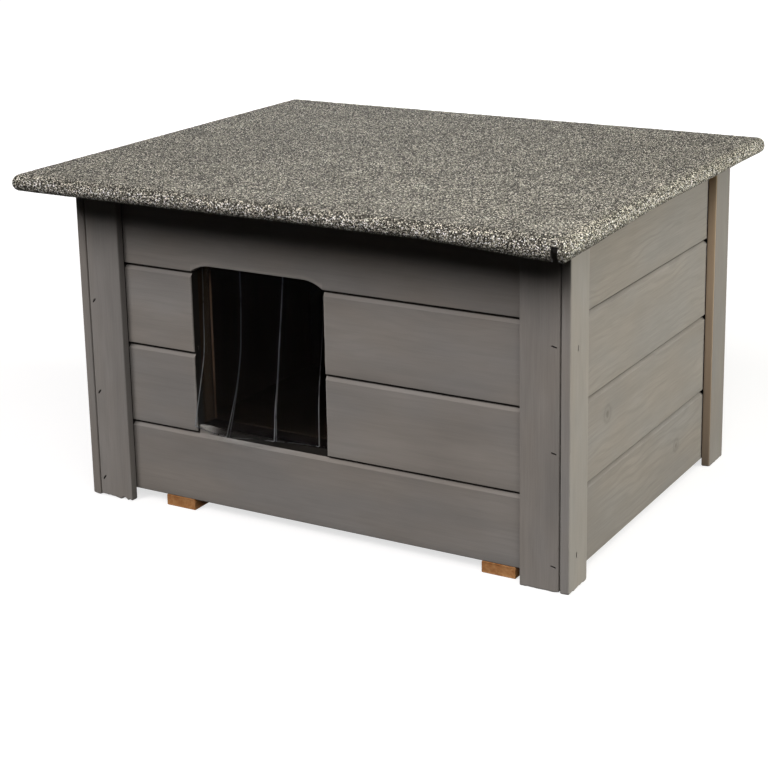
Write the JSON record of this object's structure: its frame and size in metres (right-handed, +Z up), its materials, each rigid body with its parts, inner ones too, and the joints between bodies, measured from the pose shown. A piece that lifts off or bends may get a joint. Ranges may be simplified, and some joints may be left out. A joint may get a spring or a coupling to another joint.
{
  "type": "outdoor cat house",
  "caption": "Insulated outdoor cat house of grey tongue-and-groove boards on runners, with a flat felted roof that lifts at the back and a clear strip curtain in its arched doorway.",
  "frame": {"origin": "on the ground under the middle of the roof", "axes": "+Z up, -Y towards the front with the doorway, +X to the right as seen from the front"},
  "size_m": [0.631, 0.533, 0.3708],
  "materials": {
    "grey_paint": "satin grey paint over sawn pine",
    "raw_pine": "raw sawn pine",
    "stained_pine": "sawn pine, dark brown stain",
    "plywood": "thin plywood, dark brown stain",
    "foam": "expanded polystyrene",
    "felt": "bitumen felt with grey mineral granules",
    "clear_pvc": "clear soft plastic",
    "dark_steel": "dull dark wire",
    "zinc_steel": "bright zinc plating"
  },
  "bodies": {
    "house": {"front_board_1": "grey_paint", "front_board_2_left": "grey_paint", "front_board_2_right": "grey_paint", "front_board_3_left": "grey_paint", "front_board_3_right": "grey_paint", "front_board_4": "grey_paint", "right_board_1": "grey_paint", "right_board_2": "grey_paint", "right_board_3": "grey_paint", "right_board_4": "grey_paint", "left_board_1": "grey_paint", "left_board_2": "grey_paint", "left_board_3": "grey_paint", "left_board_4": "grey_paint", "back_board_1": "grey_paint", "back_board_2": "grey_paint", "back_board_3": "grey_paint", "back_board_4": "grey_paint", "front_trim_left": "grey_paint", "front_trim_right": "grey_paint", "back_trim_left": "grey_paint", "back_trim_right": "grey_paint", "left_trim_front": "grey_paint", "left_trim_back": "grey_paint", "right_trim_front": "grey_paint", "right_trim_back": "grey_paint", "trim_staples": "dark_steel", "corner_posts": "raw_pine", "runner_left": "raw_pine", "runner_right": "raw_pine", "floor_base": "plywood", "floor_insulation": "foam", "floor_panel": "plywood", "front_insulation": "foam", "back_insulation": "foam", "side_insulation": "foam", "front_lining": "plywood", "back_lining": "plywood", "left_lining": "plywood", "right_lining": "plywood", "door_jamb_left": "stained_pine", "door_jamb_right": "stained_pine", "door_head": "stained_pine", "door_sill": "stained_pine", "strip_clamped_ends": "clear_pvc", "hinge_wall_leaves": "zinc_steel", "hinge_pins": "zinc_steel", "hinge_wall_screws": "zinc_steel"},
    "roof": {"roof_boards": "raw_pine", "roof_felt": "felt", "felt_nails": "zinc_steel", "roof_battens": "raw_pine", "roof_insulation": "foam", "roof_lining": "plywood", "hinge_roof_leaves": "zinc_steel", "hinge_roof_screws": "zinc_steel"},
    "strip_left": {"strip_left": "clear_pvc"},
    "strip_middle": {"strip_middle": "clear_pvc"},
    "strip_right": {"strip_right": "clear_pvc"}
  },
  "joints": [
    {"name": "roof_lift", "type": "hinge", "parent": "house", "child": "roof", "pos_m": [0, 0.2295, 0.3528], "axis": [-1, 0, 0], "range_deg": [0, 94]},
    {"name": "strip_left_swing", "type": "hinge", "parent": "house", "child": "strip_left", "pos_m": [-0.12143, -0.174, 0.2655], "axis": [1, 0, 0], "range_deg": [-80, 80]},
    {"name": "strip_middle_swing", "type": "hinge", "parent": "house", "child": "strip_middle", "pos_m": [-0.0715, -0.174, 0.2655], "axis": [1, 0, 0], "range_deg": [-80, 80]},
    {"name": "strip_right_swing", "type": "hinge", "parent": "house", "child": "strip_right", "pos_m": [-0.02157, -0.174, 0.2655], "axis": [1, 0, 0], "range_deg": [-80, 80]}
  ]
}
